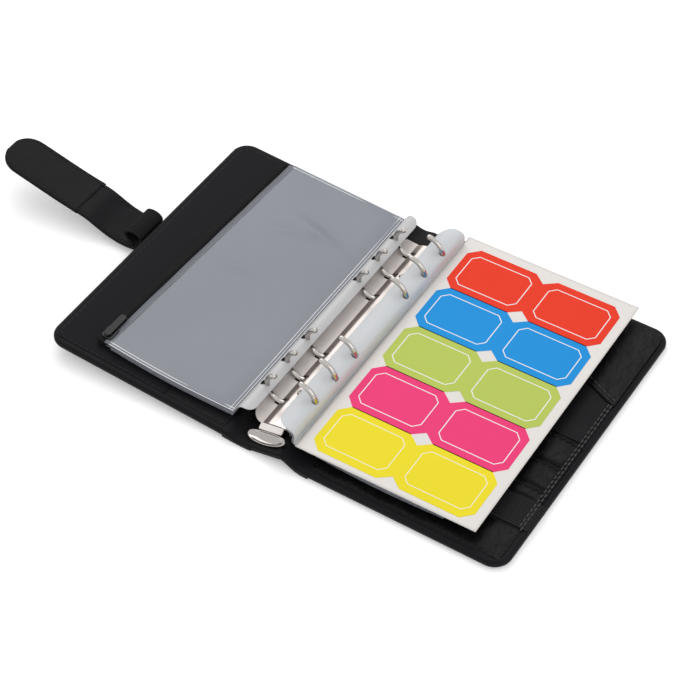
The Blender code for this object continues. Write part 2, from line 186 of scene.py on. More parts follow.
def tubes(name, paths, radius, look, place=tableFrame, sides=20):
    # round wires along lines in space, the cross-section carried without twist, ends domed a little
    points, faces = [], []
    start = 0
    t = fullTurn(sides)[None, :, None]
    for path in paths:
        p = np.asarray(path, float)
        first, last = p[0] - p[1], p[-1] - p[-2]
        first, last = first / np.linalg.norm(first), last / np.linalg.norm(last)
        p = np.vstack([p[0] + first * radius * 0.3, p, p[-1] + last * radius * 0.3])
        r = np.full(len(p), float(radius))[:, None, None]
        r[[0, -1]] *= 0.6
        way = np.gradient(p, axis=0)
        way /= np.linalg.norm(way, axis=1)[:, None]
        beside = np.array([0, 1.0, 0]) if abs(way[:, 1]).max() < 0.9 else np.array([0, 0, 1.0])
        a = np.cross(way, beside)
        a /= np.linalg.norm(a, axis=1)[:, None]
        b = np.cross(way, a)
        ring = p[:, None] + r * (np.cos(t) * a[:, None] + np.sin(t) * b[:, None])
        points.append(ring.reshape(-1, 3))
        faces += gridFaces(len(p), sides, start, wrap=True) + endCaps(sides, len(p), start)
        start += len(p) * sides
    return makePiece(name, np.concatenate(points), faces, look, place)


def stitches(name, line, closed, look, place=tableFrame, pitch=3.6, length=2.8, thick=0.7, lift=0.16):
    # short threads end to end along a line, each a small spindle half sunk in the surface
    p = np.asarray(line, float)
    whole = np.vstack([p, p[:1]]) if closed else p
    count = max(2, int(np.linalg.norm(np.diff(whole, axis=0), axis=1).sum() / pitch))
    mid = resample(p, count, closed)
    way = np.roll(mid, -1, 0) - mid if closed else np.gradient(mid, axis=0)
    if not closed:
        way[-1] = way[-2]
    way /= np.linalg.norm(way, axis=1)[:, None]
    side = np.cross(way, [0, 0, 1.0])
    up = np.cross(side, way)
    mid, way, side, up = (each[:, None, None] for each in (mid, way, side, up))
    along = np.array([-0.5, -0.36, 0, 0.36, 0.5])[None, :, None, None] * length
    wide = np.array([0.25, 0.85, 1.0, 0.85, 0.25])[None, :, None, None] * thick / 2
    rows, sides = along.size, 6
    t = fullTurn(sides)[None, None, :, None]
    ring = mid + way * along + wide * (np.cos(t) * side + 0.7 * np.sin(t) * up) + up * lift
    base = gridFaces(rows, sides, wrap=True) + endCaps(sides, rows)
    faces = [[i + rows * sides * k for i in f] for k in range(count) for f in base]
    return makePiece(name, ring.reshape(-1, 3), faces, look, place)


def plate(name, line, low, high, look, place=tableFrame, bevel=0.22, segments=3):
    # a flat outline raised from one height to another, its edges softened
    line = np.asarray(line, float)
    turned = np.cross(line, np.roll(line, -1, 0)).sum() > 0
    run = line if turned else line[::-1]
    points = np.concatenate([raised(run, low), raised(run, high)])
    faces = endCaps(len(run), 2) + gridFaces(2, len(run), wrap=True)
    obj = makePiece(name, points, faces, look, place, smooth=False)
    mod = obj.modifiers.new("softEdge", "BEVEL")
    mod.width = bevel / 1000
    mod.segments = segments
    mod.limit_method = "ANGLE"
    mod.use_clamp_overlap = True
    return obj


def puffed(name, x0, x1, y0, y1, low, rise, look, place=tableFrame, puff=0.5, nx=44, ny=18):
    # a soft panel: highest in the middle, rolled down at its rim by a power of the distance to it
    u, v = shares(nx, ny)
    u, v = 0.5 - 0.5 * np.cos(pi * u), 0.5 - 0.5 * np.cos(pi * v)
    rim = np.minimum(1, 14 * u * (1 - u)) ** 0.5 * np.minimum(1, 9 * v * (1 - v)) ** 0.5
    span = (x1 - x0) / 110.0
    wave = 0.16 * np.sin(9 * u + 4 * v) + 0.14 * np.sin(31 * u * span - 7 * v + 1.5 * np.sin(6 * v))
    wave += 0.08 * np.sin(57 * u * span + 9 * v)
    x, y = x0 + (x1 - x0) * u, y0 + (y1 - y0) * v
    top = np.stack([x, y, low + rise * rim + puff * rim * (np.sin(pi * v) * 0.6 + wave)], -1)
    under = np.stack([x, y, np.full_like(x, low)], -1)
    return closedSheet(name, top, under, look, place)


# shader sockets with ordinary arithmetic
class Wire:
    def __init__(self, tree, socket):
        self.tree, self.socket = tree, socket

    def plug(self, place, value):
        if isinstance(value, Wire):
            self.tree.links.new(value.socket, place)
        else:
            place.default_value = value

    def math(self, operation, *others):
        node = self.tree.nodes.new("ShaderNodeMath")
        node.operation = operation
        for place, value in zip(node.inputs, (self, *others)):
            self.plug(place, value)
        return Wire(self.tree, node.outputs[0])

    def __add__(self, other):
        return self.math("ADD", other)

    def __sub__(self, other):
        return self.math("SUBTRACT", other)

    def __mul__(self, other):
        return self.math("MULTIPLY", other)

    def __rsub__(self, other):
        return self.math("MULTIPLY_ADD", -1.0, other)

    __radd__, __rmul__ = __add__, __mul__

    def node(self, kind, outlet=0, **values):
        made = self.tree.nodes.new(kind)
        for key, value in values.items():
            if hasattr(made, key) and key not in made.inputs:
                setattr(made, key, value)
            else:
                self.plug(made.inputs[key.replace("_", " ")], value)
        return Wire(self.tree, made.outputs[outlet])

    def blendColours(self, low, high):
        mix = self.tree.nodes.new("ShaderNodeMix")
        mix.data_type = "RGBA"
        for index, value in ((0, self), (6, (*low, 1)), (7, (*high, 1))):
            self.plug(mix.inputs[index], value)
        return Wire(self.tree, mix.outputs[2])


class Look:
    def __init__(self, name, colour, rough, metal=0.0, **constants):
        self.mat = bpy.data.materials.new(name)
        self.mat.use_nodes = True
        self.tree = self.mat.node_tree
        self.shader = self.tree.nodes["Principled BSDF"]
        self.shader.inputs["Base Color"].default_value = (*colour, 1)
        self.shader.inputs["Roughness"].default_value = rough
        self.shader.inputs["Metallic"].default_value = metal
        for key, value in constants.items():
            self.shader.inputs[key.replace("_", " ")].default_value = value
        self.coords = Wire(self.tree, self.tree.nodes.new("ShaderNodeTexCoord").outputs["Object"])

    def noise(self, scale, detail=3.0, roughness=0.5, stretch=None):
        at = self.coords
        if stretch:
            at = at.node("ShaderNodeMapping", Vector=at, Scale=stretch)
        return at.node("ShaderNodeTexNoise", Vector=at, Scale=scale, Detail=detail, Roughness=roughness)

    def cells(self, scale):
        return self.coords.node("ShaderNodeTexVoronoi", Vector=self.coords, Scale=scale)

    def feed(self, name, wire):
        self.tree.links.new(wire.socket, self.shader.inputs[name])

    def bump(self, height, strength, distance=0.0002):
        made = height.node("ShaderNodeBump", Height=height, Strength=strength, Distance=distance)
        self.feed("Normal", made)

    def grainy(self, scale, detail, strength, distance=0.0002):
        self.bump(self.noise(scale, detail), strength, distance)
        return self

    def tint(self, wire, low, high):
        self.feed("Base Color", wire.blendColours(low, high))


def seenDirectly(tree):
    # one for the camera's own rays and for mirror and see-through rays, nought for light on the object
    rays = tree.nodes.new("ShaderNodeLightPath").outputs
    kinds = ("Is Camera Ray", "Is Glossy Ray", "Is Transmission Ray")
    camera, glossy, through = [Wire(tree, rays[kind]) for kind in kinds]
    return camera.math("MAXIMUM", glossy).math("MAXIMUM", through)


# finishes: noise scales are per metre, since the coordinates are the row's
leather = Look("leather", (0.0078, 0.0078, 0.0092), 0.55, Specular_IOR_Level=0.09)
leather.bump(leather.cells(1500) * 0.7 + leather.noise(60, 4) * 0.9, 0.35)
leather.feed("Roughness", leather.noise(140, 3) * 0.16 + leather.noise(900, 2) * 0.12 + 0.34)
lining = Look("lining", (0.0082, 0.0085, 0.0104), 0.55, Specular_IOR_Level=0.07)
lining.bump(lining.cells(1100) * 0.5 + lining.noise(45, 4) * 1.2, 0.4)
pocketLeather = Look("pocketLeather", (0.0036, 0.0036, 0.004), 0.33, Specular_IOR_Level=0.12)
wrinkles = pocketLeather.cells(1100) * 0.1 + pocketLeather.noise(60, 3) * 2.0
pocketLeather.bump(wrinkles + pocketLeather.noise(170, 2) * 0.7, 0.75, 0.0011)
pocketLeather.feed("Roughness", pocketLeather.noise(120, 3) * 0.2 + 0.24)
seamThread = Look("seamThread", (0.022, 0.022, 0.024), 0.5).grainy(4000, 2, 0.3)
thread = Look("thread", (0.014, 0.014, 0.015), 0.6, Specular_IOR_Level=0.2).grainy(4000, 2, 0.3)
elastic = Look("elastic", (0.0075, 0.0075, 0.0075), 0.85, Specular_IOR_Level=0.15).grainy(2600, 2, 0.5)
webbing = Look("webbing", (0.02, 0.02, 0.02), 0.7, Specular_IOR_Level=0.2)
# painted shade: dark bands at the pitch of the band's ribs stand for the shade between them
ribShadeBands = webbing.coords.node("ShaderNodeTexWave", Vector=webbing.coords, Scale=222.0, bands_direction="Y")
webbing.tint(ribShadeBands, (0.002, 0.002, 0.002), (0.021, 0.021, 0.022))
webbing.bump(webbing.noise(2600, 2), 0.4)
nickel = Look("nickel", (0.50, 0.475, 0.45), 0.16, 1.0)
nickel.feed("Roughness", nickel.noise(250, 4) * 0.16 + nickel.noise(60, 2) * 0.1)
leverMetal = Look("leverMetal", (0.42, 0.40, 0.385), 0.12, 1.0)
leverMetal.feed("Roughness", leverMetal.noise(250, 4) * 0.14 + 0.06)
brushed = (1, 0.05, 1)
plateMetal = Look("plateMetal", (0.93, 0.86, 0.83), 0.4, 0.2, Specular_IOR_Level=0.4)
marks = plateMetal.noise(120, 4) * 0.16 + plateMetal.noise(900, 2, stretch=brushed) * 0.16
plateMetal.feed("Roughness", marks + 0.18)
plateMetal.bump(plateMetal.noise(500, 2, stretch=brushed), 0.08)
# painted shade: the plate's left part is painted darker brown where it lies in shade; the colour changes over
# a short way in x, in metres
paintedShadePlate = Look("paintedShadePlate", (0.5, 0.43, 0.39), 0.34, 0.7)
paintedShadePlate.feed("Roughness", paintedShadePlate.noise(120, 4) * 0.2 + 0.22)
plateX = paintedShadePlate.coords.node("ShaderNodeSeparateXYZ", Vector=paintedShadePlate.coords)
paintedShadeMask = plateX.node("ShaderNodeMapRange", Value=plateX, From_Min=0.0425, From_Max=0.0440)
paintedShadePlate.tint(paintedShadeMask, (0.36, 0.30, 0.265), (0.86, 0.79, 0.75))
paintedShadePlate.bump(paintedShadePlate.noise(500, 2, stretch=brushed), 0.08)
film = Look("film", (0.255, 0.272, 0.312), 0.3, Alpha=0.86)
film.tint(film.noise(18, 2, stretch=(1, 0.6, 1)), (0.225, 0.24, 0.278), (0.275, 0.292, 0.333))
film.bump(film.noise(26, 2, 0.3) + film.noise(9, 1, stretch=(1.6, 0.5, 1)) * 1.6, 0.4, 0.0016)
film.feed("Roughness", film.noise(30, 2) * 0.08 + 0.31)
filmEdge = Look("filmEdge", (0.93, 0.94, 0.96), 0.25).grainy(90, 3, 0.2)
milky = Look("milky", (0.70, 0.72, 0.74), 0.3, Alpha=0.84).grainy(22, 3, 0.3, 0.0008)
milky.feed("Roughness", milky.noise(80, 4) * 0.2 + milky.noise(300, 2) * 0.14 + 0.18)
greyMilky = Look("greyMilky", (0.66, 0.65, 0.66), 0.3, Alpha=0.88).grainy(22, 3, 0.3, 0.0008)
skirtSatin = Look("skirtSatin", (0.96, 0.885, 0.855), 0.3, Specular_IOR_Level=0.4).grainy(22, 3, 0.25, 0.0008)
skirtSatin.feed("Roughness", skirtSatin.noise(80, 4) * 0.2 + 0.2)
zipTape = Look("zipTape", (0.008, 0.008, 0.009), 0.8, Specular_IOR_Level=0.15).grainy(2500, 2, 0.6)
netting = Look("zipMesh", (0.24, 0.25, 0.27), 0.6)
weave = netting.coords.node("ShaderNodeTexWave", Vector=netting.coords, Scale=260.0, Distortion=0.0)
netting.tint(weave, (0.075, 0.08, 0.092), (0.25, 0.265, 0.30))
netting.bump(netting.cells(2200), 0.6)
enamel = Look("enamel", (0.006, 0.006, 0.007), 0.3, Specular_IOR_Level=0.2, Coat_Weight=0.08)
enamel.bump(enamel.noise(500, 3), 0.08)
paper = Look("paper", (0.86, 0.82, 0.79), 0.55).grainy(900, 4, 0.12)
paper.tint(paper.noise(14, 2), (0.83, 0.79, 0.755), (0.79, 0.755, 0.725))
whiteLine = Look("whiteLine", (0.9, 0.9, 0.9), 0.5).grainy(900, 3, 0.05)
creamLine = Look("creamLine", (0.9, 0.86, 0.62), 0.5).grainy(900, 3, 0.05)
inks = {"red": (0.89, 0.047, 0.018), "blue": (0.012, 0.31, 0.77), "green": (0.525, 0.63, 0.12),
        "pink": (0.93, 0.053, 0.215), "yellow": (0.94, 0.79, 0.025)}
inkLooks = {}
for colour, value in inks.items():
    ink = Look(colour + "Ink", value, 0.55, Specular_IOR_Level=0.15)
    ink.tint(ink.noise(30, 3), tuple(0.94 * part for part in value), value)
    ink.bump(ink.noise(1200, 3), 0.08)
    inkLooks[colour] = ink
print("finishes ready")


def show(piece, body, slotNode, *nodes):
    # a finished piece moves with its body and stands for the CAD nodes named
    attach(piece, body)
    slotNode + "_mat"
    if nodes:
        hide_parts(*nodes)
    return piece


def bend(piece, bodies, start, end, *nodes):
    # a soft piece stands for the CAD nodes named, which are hidden, and its placement is baked into its
    # points
    nodes[0] + "_mat"
    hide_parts(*nodes)
    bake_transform(piece)


# covers: a padded board in leather, the rim turned in, a sewn groove inside it
cover = {"half": 92.5, "radius": 10.0, "thick": 4.5, "frontIn": 28.5, "frontOut": 144.5, "backIn": -8.3,
         "backOut": -124.3, "stitchInset": 4.6, "stitchSunk": 0.03, "underStitches": 0.36}
# inset from the outline and height, from the middle of the underside round the rim to the inner side
coverProfile = [(30, 0.0), (6.2, 0.0), (5.5, 0.2), (4.6, 0.3), (3.7, 0.22), (3.0, 0.1), (1.2, 0.3),
                (0.4, 0.85), (0.05, 1.6), (0.0, 2.3), (0.05, 3.0), (0.4, 3.75), (1.1, 4.25), (2.0, 4.42),
                (2.7, 4.38), (3.05, 4.1), (3.4, 4.34), (4.2, 4.44), (6, 4.5), (30, 4.5)]


def makeCover(name, x0, x1, place, body, side):
    def line(inset):
        square = -1 if side == "front" else 1
        return outline(x0, x1, -cover["half"], cover["half"], cover["radius"], inset, 14, square)
    board = panel(name, line, coverProfile, leather, place)
    upper = raised(line(cover["stitchInset"]), cover["thick"] - cover["stitchSunk"])
    sewn = stitches(name + "Stitches", upper, True, thread, place)
    lower = raised(line(cover["stitchInset"]), cover["underStitches"])
    under = stitches(name + "UnderStitches", lower, True, thread, place, lift=-0.05)
    show(board, body, side + "_skin", side + "_skin", side + "_lining")
    show(sewn, body, side + "_skin")
    show(under, body, side + "_skin")


makeCover("frontCover", cover["frontIn"], cover["frontOut"], tableFrame, "front_cover", "front")
makeCover("backCover", cover["backOut"], cover["backIn"], backFrame, "back_cover", "back")
print("covers ready")


# pockets inside the front cover: three card slots, the seams at their ends, a panel below the band
slots = {"in": 31.5, "out": 141.6, "hems": (-0.7, -20.0, -37.5, -46.7), "low": 4.52, "rise": 0.55,
         "gap": 0.35, "hemRows": ((0.8, 0.6), (2.6, 0.65)), "hemThick": 0.42, "seamRow": (3.6, 0.85)}
cardSlots = ("front_cover", "front_card_slots")
slotEnds = (slots["in"] + 1, slots["out"] - 1)
for number, (high, low) in enumerate(zip(slots["hems"][:-1], slots["hems"][1:]), 1):
    body = puffed("cardSlot%d" % number, slots["in"], slots["out"], low + slots["gap"], high,
                  slots["low"], slots["rise"], pocketLeather, puff=0.35)
    show(body, *cardSlots, cardSlots[1])
    hem = [alongX(*slotEnds, high - down, slots["low"] + up, 40) for down, up in slots["hemRows"]]
    folded = tubes("cardSlotHem%d" % number, hem, slots["hemThick"], pocketLeather, sides=10)
    show(folded, *cardSlots)
    row = alongX(*slotEnds, high - slots["seamRow"][0], slots["low"] + slots["seamRow"][1], 30)
    show(stitches("cardSlotStitches%d" % number, row, False, thread), *cardSlots)

for number, (away, start) in enumerate(((1.1, -66.0), (2.6, -64.1))):
    row = alongY(slots["out"] - away, start, 28, slots["low"] + 0.75, 40)
    sewn = stitches("pocketSeam%d" % number, row, False, seamThread,
                    pitch=3.3, length=3.0, thick=1.0, lift=0.2)
    show(sewn, *cardSlots)
bottom = puffed("bottomPanel", slots["in"], slots["out"] - 1.2, -88.4, -67.0,
                slots["low"] - 0.1, 0.5, pocketLeather, puff=0.5)
show(bottom, "front_cover", "front_lining")

# elastic band: its ribs are powers of a sine across it, and it is rolled down at its rim
band = {"in": 31.5, "out": 144.2, "low": -66.2, "high": -47.9, "ribShadeBands": 13, "rise": 0.8, "rib": 0.4}
u, v = shares(60, band["ribShadeBands"] * 8 + 1)
rib = band["rib"] * np.abs(np.sin(pi * band["ribShadeBands"] * v)) ** 0.7
rim = np.minimum(1, 30 * u * (1 - u)) * np.minimum(1, 12 * v * (1 - v)) ** 0.5
x, y = band["in"] + (band["out"] - band["in"]) * u, band["low"] + (band["high"] - band["low"]) * v
bandTop = np.stack([x, y, slots["low"] + band["rise"] * rim + rib], -1)
bandLow = np.stack([x, y, np.full_like(x, slots["low"])], -1)
elasticBand = closedSheet("elasticBand", bandTop, bandLow, webbing)
show(elasticBand, "front_cover", "front_elastic_band", "front_elastic_band")

# curved pocket: its hem runs from the outer edge up to the far end
curved = {"low": 4.52, "high": 5.3, "hemThick": 0.4, "seamAway": (1.6, 2.2),
          "hem": [(141.6, 29.5), (127.4, 35.4), (110, 44), (90, 56), (70, 68), (50, 80), (39, 89.6)],
          "corner": [(134, 89.6), (138.5, 88.6), (140.8, 86.2), (141.6, 82)]}
curve = smoothLine(curved["hem"], 60)
curveLine = np.vstack([curve, curved["corner"]])
pocket = plate("curvedPocket", curveLine, curved["low"], curved["high"], pocketLeather)
show(pocket, "front_cover", "front_curved_pocket", "front_curved_pocket")
edge = [raised(curve, curved["high"])]
folded = tubes("curvedPocketHem", edge, curved["hemThick"], pocketLeather, sides=10)
show(folded, "front_cover", "front_curved_pocket")
row = raised(curve + curved["seamAway"], curved["high"])[2:-4]
sewn = stitches("curvedPocketStitches", row, False, seamThread)
show(sewn, "front_cover", "front_curved_pocket")

# slip pocket inside the back cover
slip = {"in": -49.7, "out": -120.4, "half": 88.6, "low": 4.52, "rise": 0.45, "hem": (0.6, 88.5, 4.95)}
slipPanel = puffed("slipPocket", slip["out"], slip["in"], -slip["half"], slip["half"], slip["low"],
                   slip["rise"], lining, backFrame, puff=0.25, nx=40, ny=60)
show(slipPanel, "back_cover", "back_slip_pocket", "back_slip_pocket")
inset, reach, level = slip["hem"]
hemLine = [alongY(slip["in"] - inset, -reach, reach, level, 60)]
folded = tubes("slipPocketHem", hemLine, 0.4, lining, backFrame, sides=10)
show(folded, "back_cover", "back_slip_pocket")
print("pockets ready")

# spine: one soft-edged bar, sewn near both ends, and the leathers that bend into the covers
spine = {"left": -9.62, "right": 10.88, "low": 0.9, "top": 4.7, "half": 92.5, "soft": 1.2, "seam": 88.6}
spineLine = [(spine["left"], spine["low"]), (spine["right"], spine["low"]),
             (spine["right"], spine["top"]), (spine["left"], spine["top"])]
points = np.array([(x, y, z) for y in (-spine["half"], spine["half"]) for x, z in spineLine])
faces = [[0, 1, 2, 3], [7, 6, 5, 4]] + [[k, k + 4, (k + 1) % 4 + 4, (k + 1) % 4] for k in range(4)]
spineBody = makePiece("spinePanel", points, faces, leather, ringFrame, smooth=False)
soft = spineBody.modifiers.new("softEdge", "BEVEL")
soft.width = spine["soft"] / 1000
soft.segments = 4
show(spineBody, "spine", "spine_skin", "spine_skin", "spine_lining", "spine_board")
for end in (-1, 1):
    row = alongX(spine["left"] + 2, spine["right"] - 2, end * spine["seam"], spine["top"], 20)
    sewn = stitches("spineStitches%d" % (end + 2), row, False, thread, ringFrame)
    show(sewn, "spine", "spine_skin")

hinges = {"frontTop": [(14.4, 7.85), (17.2, 7.3), (20.6, 5.2), (24.5, 3.9), (28.5, 4.2), (31.8, 4.45)],
          "frontLow": [(15.2, 5.6), (18.2, 4.5), (21.8, 2.2), (25.5, 0.6), (28.5, 0.15), (31.8, 0.1)],
          "backTop": [(-20.4, 5.3), (-17.2, 5.0), (-14.3, 3.7), (-11.0, 2.8), (-8.0, 2.8),
                      (-4.6, 3.75), (-2.6, 4.1)],
          "backLow": [(-20.4, 0.85), (-17.2, 0.6), (-14.0, 0.25), (-10.5, 0.08), (-7.0, 0.05),
                      (-4.4, 0.1), (-2.6, 0.5)],
          "rows": 220, "cols": 40}


def hingeBand(name, topLine, lowLine):
    # two smoothed lines of x and z are carried along y, the upper one with a slow wave and creases
    y = np.linspace(-cover["half"], cover["half"], hinges["rows"])[:, None]
    dip = np.sin(np.linspace(0, pi, hinges["cols"]))[None] ** 2
    wave = dip * (0.12 * np.sin(y / 13.0) + 0.07 * np.sin(y / 3.7 + np.sin(y / 9.0)))
    grids = []
    for line, rise in ((topLine, wave), (lowLine, 0 * wave)):
        x, z = smoothLine(line, hinges["cols"]).T
        grids.append(np.stack(np.broadcast_arrays(x, y, z + rise), -1))
    return closedSheet(name, *grids, leather)


for side, start, end in (("front", 16.5, 28.0), ("back", -4.5, -17.0)):
    piece = hingeBand(side + "HingeLeather", hinges[side + "Top"], hinges[side + "Low"])
    bend(piece, ("spine", side + "_cover"), (start, 0, 3), (end, 0, 3), side + "_hinge_leather")
print("spine ready")

# ring plate: the solid itself is shown in brushed metal, its left part darker by painted shade, with small
# dimples on its top
ringYs = [2.3 + sign * row for row in (25.4, 44.45, 63.5) for sign in (-1, 1)]
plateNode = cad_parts["ring_plate"]
plateNode.data.materials.clear()
plateNode.data.materials.append(paintedShadePlate.mat)
for node in ("plate_rivet_1", "plate_rivet_2"):
    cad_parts[node].data.materials.clear()
    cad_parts[node].data.materials.append(nickel.mat)
dimples = {"places": (-62.2, -42.6, -23.0, 20.0, 40.0), "radius": 1.5, "rise": 0.5, "top": 10.05}
n = 24
a, b = np.meshgrid(np.linspace(0, pi / 2, 8), fullTurn(n), indexing="ij")
r, z = dimples["radius"] * np.sin(a + 0.02), dimples["top"] + dimples["rise"] * np.cos(a)
faces = gridFaces(8, n, wrap=True) + [list(range(7 * n, 8 * n))[::-1], list(range(n))[::-1]]
for number, y in enumerate(dimples["places"], 1):
    dome = np.stack([r * np.cos(b), y + r * np.sin(b), z], -1).reshape(-1, 3)
    dimple = makePiece("plateDimple%d" % number, dome, faces, plateMetal, ringFrame)
    show(dimple, "spine", "ring_plate")

# the plate's flat skirt on the left, cut away round every wire
skirt = {"inner": -8.95, "outer": -17.0, "low": 6.9, "slope": 0.3, "thick": 0.6, "ends": (-78.0, 77.0),
         "round": (8, 9), "corner": 1.2, "slotHalf": 2.0, "slotOut": -11.9, "slotCorner": (0.7, 0.8)}
lowEnd, highEnd = skirt["ends"]
outer, inner, slotOut = skirt["outer"], skirt["inner"], skirt["slotOut"]
wide, tall = skirt["round"]
edgeLine = [(outer + wide * (1 - cos(a)), lowEnd + tall * (1 - sin(a))) for a in np.linspace(pi / 2, 0, 12)]
edgeLine += [(outer, highEnd - skirt["corner"]), (outer + skirt["corner"], highEnd), (inner, highEnd)]
wide, tall = skirt["slotCorner"]
for ring in sorted(ringYs, reverse=True):
    up, down = ring + skirt["slotHalf"], ring - skirt["slotHalf"]
    edgeLine += [(inner, up), (slotOut + wide, up), (slotOut, up - tall),
                 (slotOut, down + tall), (slotOut + wide, down), (inner, down)]
edgeLine.append((inner, lowEnd))
skirtPiece = plate("plateSkirt", edgeLine, skirt["low"], skirt["low"] + skirt["thick"],
                   skirtSatin, bevel=0.15)
lean(skirtPiece, lambda p: (skirt["inner"] - p[:, 0]) * skirt["slope"])
show(skirtPiece, "spine", "ring_plate")

# wires: each half runs from its free end at the top in an arc down to a foot on a carrier blade
wires = {"centre": (5.5, 17.1), "radius": 9.45, "thick": 1.42, "from": 76.6, "to": -72.0,
         "bend": (7.6, 8.0), "foot": (6.6, 7.75)}
carrier = {"inner": 0.35, "outer": 8.0, "ends": (-73.7, 72.0), "thick": 0.6, "low": 6.5,
           "slope": np.tan(radians(10.3))}
angles = np.radians(np.linspace(wires["from"], wires["to"], 40))
arcLine = wires["centre"] + wires["radius"] * np.column_stack([np.cos(angles), np.sin(angles)])
halfLine = np.vstack([arcLine, smoothLine([arcLine[-1], wires["bend"], wires["foot"]], 6)[1:]])
for side, sign in (("left", -1), ("right", 1)):
    paths = [np.column_stack([sign * halfLine[:, 0], np.full(len(halfLine), y), halfLine[:, 1]])
             for y in ringYs]
    wire = tubes(side + "Wires", paths, wires["thick"], nickel, ringFrame, sides=28)
    near, far = carrier["ends"]
    corners = [(sign * carrier[edge], y) for edge, y in
               (("inner", near), ("outer", near), ("outer", far), ("inner", far))]
    blade = plate(side + "Carrier", corners, 0, carrier["thick"], plateMetal, bevel=0.1)
    lean(blade, lambda p: carrier["low"] + (carrier["outer"] - np.abs(p[:, 0])) * carrier["slope"])
    show(wire, side + "_rings", side + "_ring_half", side + "_ring_half")
    show(blade, side + "_rings", side + "_ring_half")

# lever: a wide dished pad with a rolled rim, on a flat neck at the end of the plate
lever = {"half": (11.6, 4.0), "near": 3.2, "middle": 7.5, "tilt": radians(24), "axisX": -1.2,
         "axisY": -79.3, "axisZ": 10.4, "sides": 56}
def leverFrame(p):
    p = np.asarray(p, float)
    c, s = cos(lever["tilt"]), sin(lever["tilt"])
    y = lever["axisY"] - (p[..., 1] * c - p[..., 2] * s)
    z = lever["axisZ"] - (p[..., 1] * s + p[..., 2] * c)
    return ringFrame(np.stack([p[..., 0] + lever["axisX"], y, z], -1))


# share of the half widths, and depth, of each ring from the middle of one side to that of the other
share = np.array([0.02, 0.2, 0.4, 0.55, 0.68, 0.78, 0.86, 0.92, 0.96, 0.99, 1.0, 0.99, 0.95, 0.8, 0.4, 0.02])
depth = np.array([1.7, 1.68, 1.58, 1.4, 1.1, 0.76, 0.34, 0.06, 0.0, 0.12, 0.45, 0.9, 1.35, 1.95, 2.4, 2.5])
turn = fullTurn(lever["sides"])
# the side towards the plate is flatter: its sine is raised to a power below one
rise = np.sin(turn)
bulge = np.where(rise > 0, lever["half"][1] * rise, -lever["near"] * np.abs(rise) ** 0.6)
share, depth = share[:, None], depth[:, None]
x, y = lever["half"][0] * share * np.cos(turn), lever["middle"] + share * bulge
padRings = np.stack(np.broadcast_arrays(x, y, depth), -1)
padFaces = gridFaces(len(share), lever["sides"], wrap=True) + endCaps(lever["sides"], len(share))
pad = makePiece("leverPad", padRings.reshape(-1, 3), padFaces, leverMetal, leverFrame)
show(pad, "ring_lever", "end_lever", "end_lever")
neckLine = outline(-6.9, 7.4, 0.2, 3.9, 0.8)
neck = plate("leverNeck", neckLine, 0.45, 1.25, plateMetal, leverFrame, bevel=0.15)
show(neck, "ring_lever", "end_lever")
print("rings ready")


# punched strips of the pouches, with a hole round every wire
def stripPiece(name, line, crossing, look, ends, node, bodies, start, end,
               cornerCut=10.0, hole=1.85, thick=0.3):
    # u runs from the weld to the free edge, v along the spine; the free edge's corners are rounded off
    line = smoothLine(line, 70, 2)
    way = np.r_[0, np.cumsum(np.linalg.norm(np.diff(line, axis=0), axis=1))]
    at = way[np.argmin(np.linalg.norm(line - np.array(crossing), axis=1))]
    rows = 420
    y = np.linspace(*ends, rows)
    reach = np.full(rows, way[-1])
    for edge, sign in ((ends[0], 1), (ends[1], -1)):
        d = np.clip((y - edge) * sign, 0, cornerCut)
        reach -= cornerCut * 0.9 * (1 - np.sqrt(1 - (1 - d / cornerCut) ** 2 + 1e-9))
    u = np.linspace(0, 1, len(line))
    s = reach[:, None] * u[None]
    x, z = [np.interp(s.ravel(), way, part).reshape(s.shape) for part in line.T]
    grid = np.stack([x, np.repeat(y[:, None], len(line), 1), z], -1)
    dx = np.gradient(grid, axis=1)
    side = np.cross(dx, np.gradient(grid, axis=0))
    side /= np.linalg.norm(side, axis=-1, keepdims=True) + 1e-9
    side *= np.where(side[..., 2:].mean() < 0, -1, 1)
    # holes are kept as faces left out, with the inner wall built between both sides
    keep = np.ones((rows - 1, len(line) - 1), bool)
    middleY = (y[1:] + y[:-1]) / 2
    middleS = (s[1:, 1:] + s[:-1, :-1]) / 2
    for ring in ringYs:
        keep &= (middleY[:, None] - ring) ** 2 + (middleS - at) ** 2 > hole ** 2
    n = rows * len(line)
    index = np.arange(n).reshape(rows, len(line))
    a, b, c, d = index[:-1, :-1][keep], index[:-1, 1:][keep], index[1:, 1:][keep], index[1:, :-1][keep]
    quads = np.stack([a, d, c, b], -1)
    corners = np.concatenate([quads[:, [0, 1]], quads[:, [1, 2]], quads[:, [2, 3]], quads[:, [3, 0]]])
    key = corners[:, 0].astype(np.int64) * n + corners[:, 1]
    back = corners[:, 1].astype(np.int64) * n + corners[:, 0]
    loose = corners[~np.isin(key, back)]
    walls = np.stack([loose[:, 1], loose[:, 0], loose[:, 0] + n, loose[:, 1] + n], -1)
    faces = np.concatenate([quads, (quads + n)[:, ::-1], walls])
    half = side * thick / 2
    both = np.concatenate([(grid + half).reshape(-1, 3), (grid - half).reshape(-1, 3)])
    used, faces = np.unique(faces, return_inverse=True)
    piece = makePiece(name, both[used], faces.reshape(-1, 4).tolist(), look)
    bend(piece, bodies, start, end, node)


